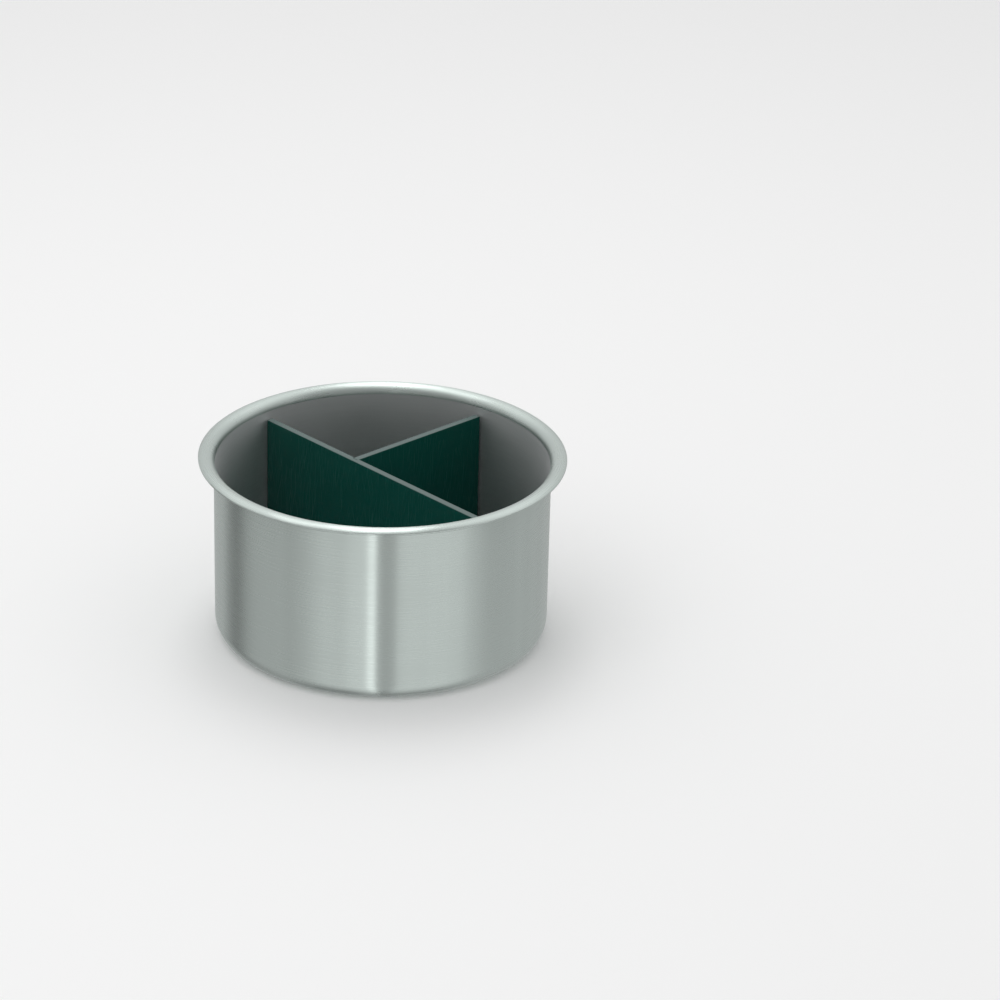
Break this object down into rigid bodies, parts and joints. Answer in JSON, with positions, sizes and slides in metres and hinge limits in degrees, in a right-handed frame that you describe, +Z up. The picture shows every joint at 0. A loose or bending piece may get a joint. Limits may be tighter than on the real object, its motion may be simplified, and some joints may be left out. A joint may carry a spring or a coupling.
{
  "type": "drop-in cutlery holder",
  "caption": "Round steel bowl that hangs by its rim in a worktop cut-out, with loose upright plates that slide together and divide it into compartments for cutlery, stirrers or sachets.",
  "frame": {"origin": "centre of the bowl's base, on its underside", "axes": "+Z up along the bowl's axis; +X along the long divider, which stands 6.5 mm beside the axis, away from the short one; +Y along the short divider, from the long one towards the wall"},
  "size_m": [0.32, 0.32, 0.168],
  "materials": {
    "steel": "satin, brushed around the wall",
    "divider_plastic": "smooth dark green sheet with a soft gloss"
  },
  "bodies": {
    "bowl": {"bowl": "steel"},
    "long_divider": {"long_divider": "divider_plastic"},
    "short_divider": {"short_divider": "divider_plastic"}
  },
  "joints": [
    {"name": "long_divider_lift", "type": "slide", "parent": "bowl", "child": "long_divider", "axis": [0, 0, 1], "range_m": [0, 0.185]},
    {"name": "short_divider_lift", "type": "slide", "parent": "long_divider", "child": "short_divider", "axis": [0, 0, 1], "range_m": [0, 0.185]}
  ]
}
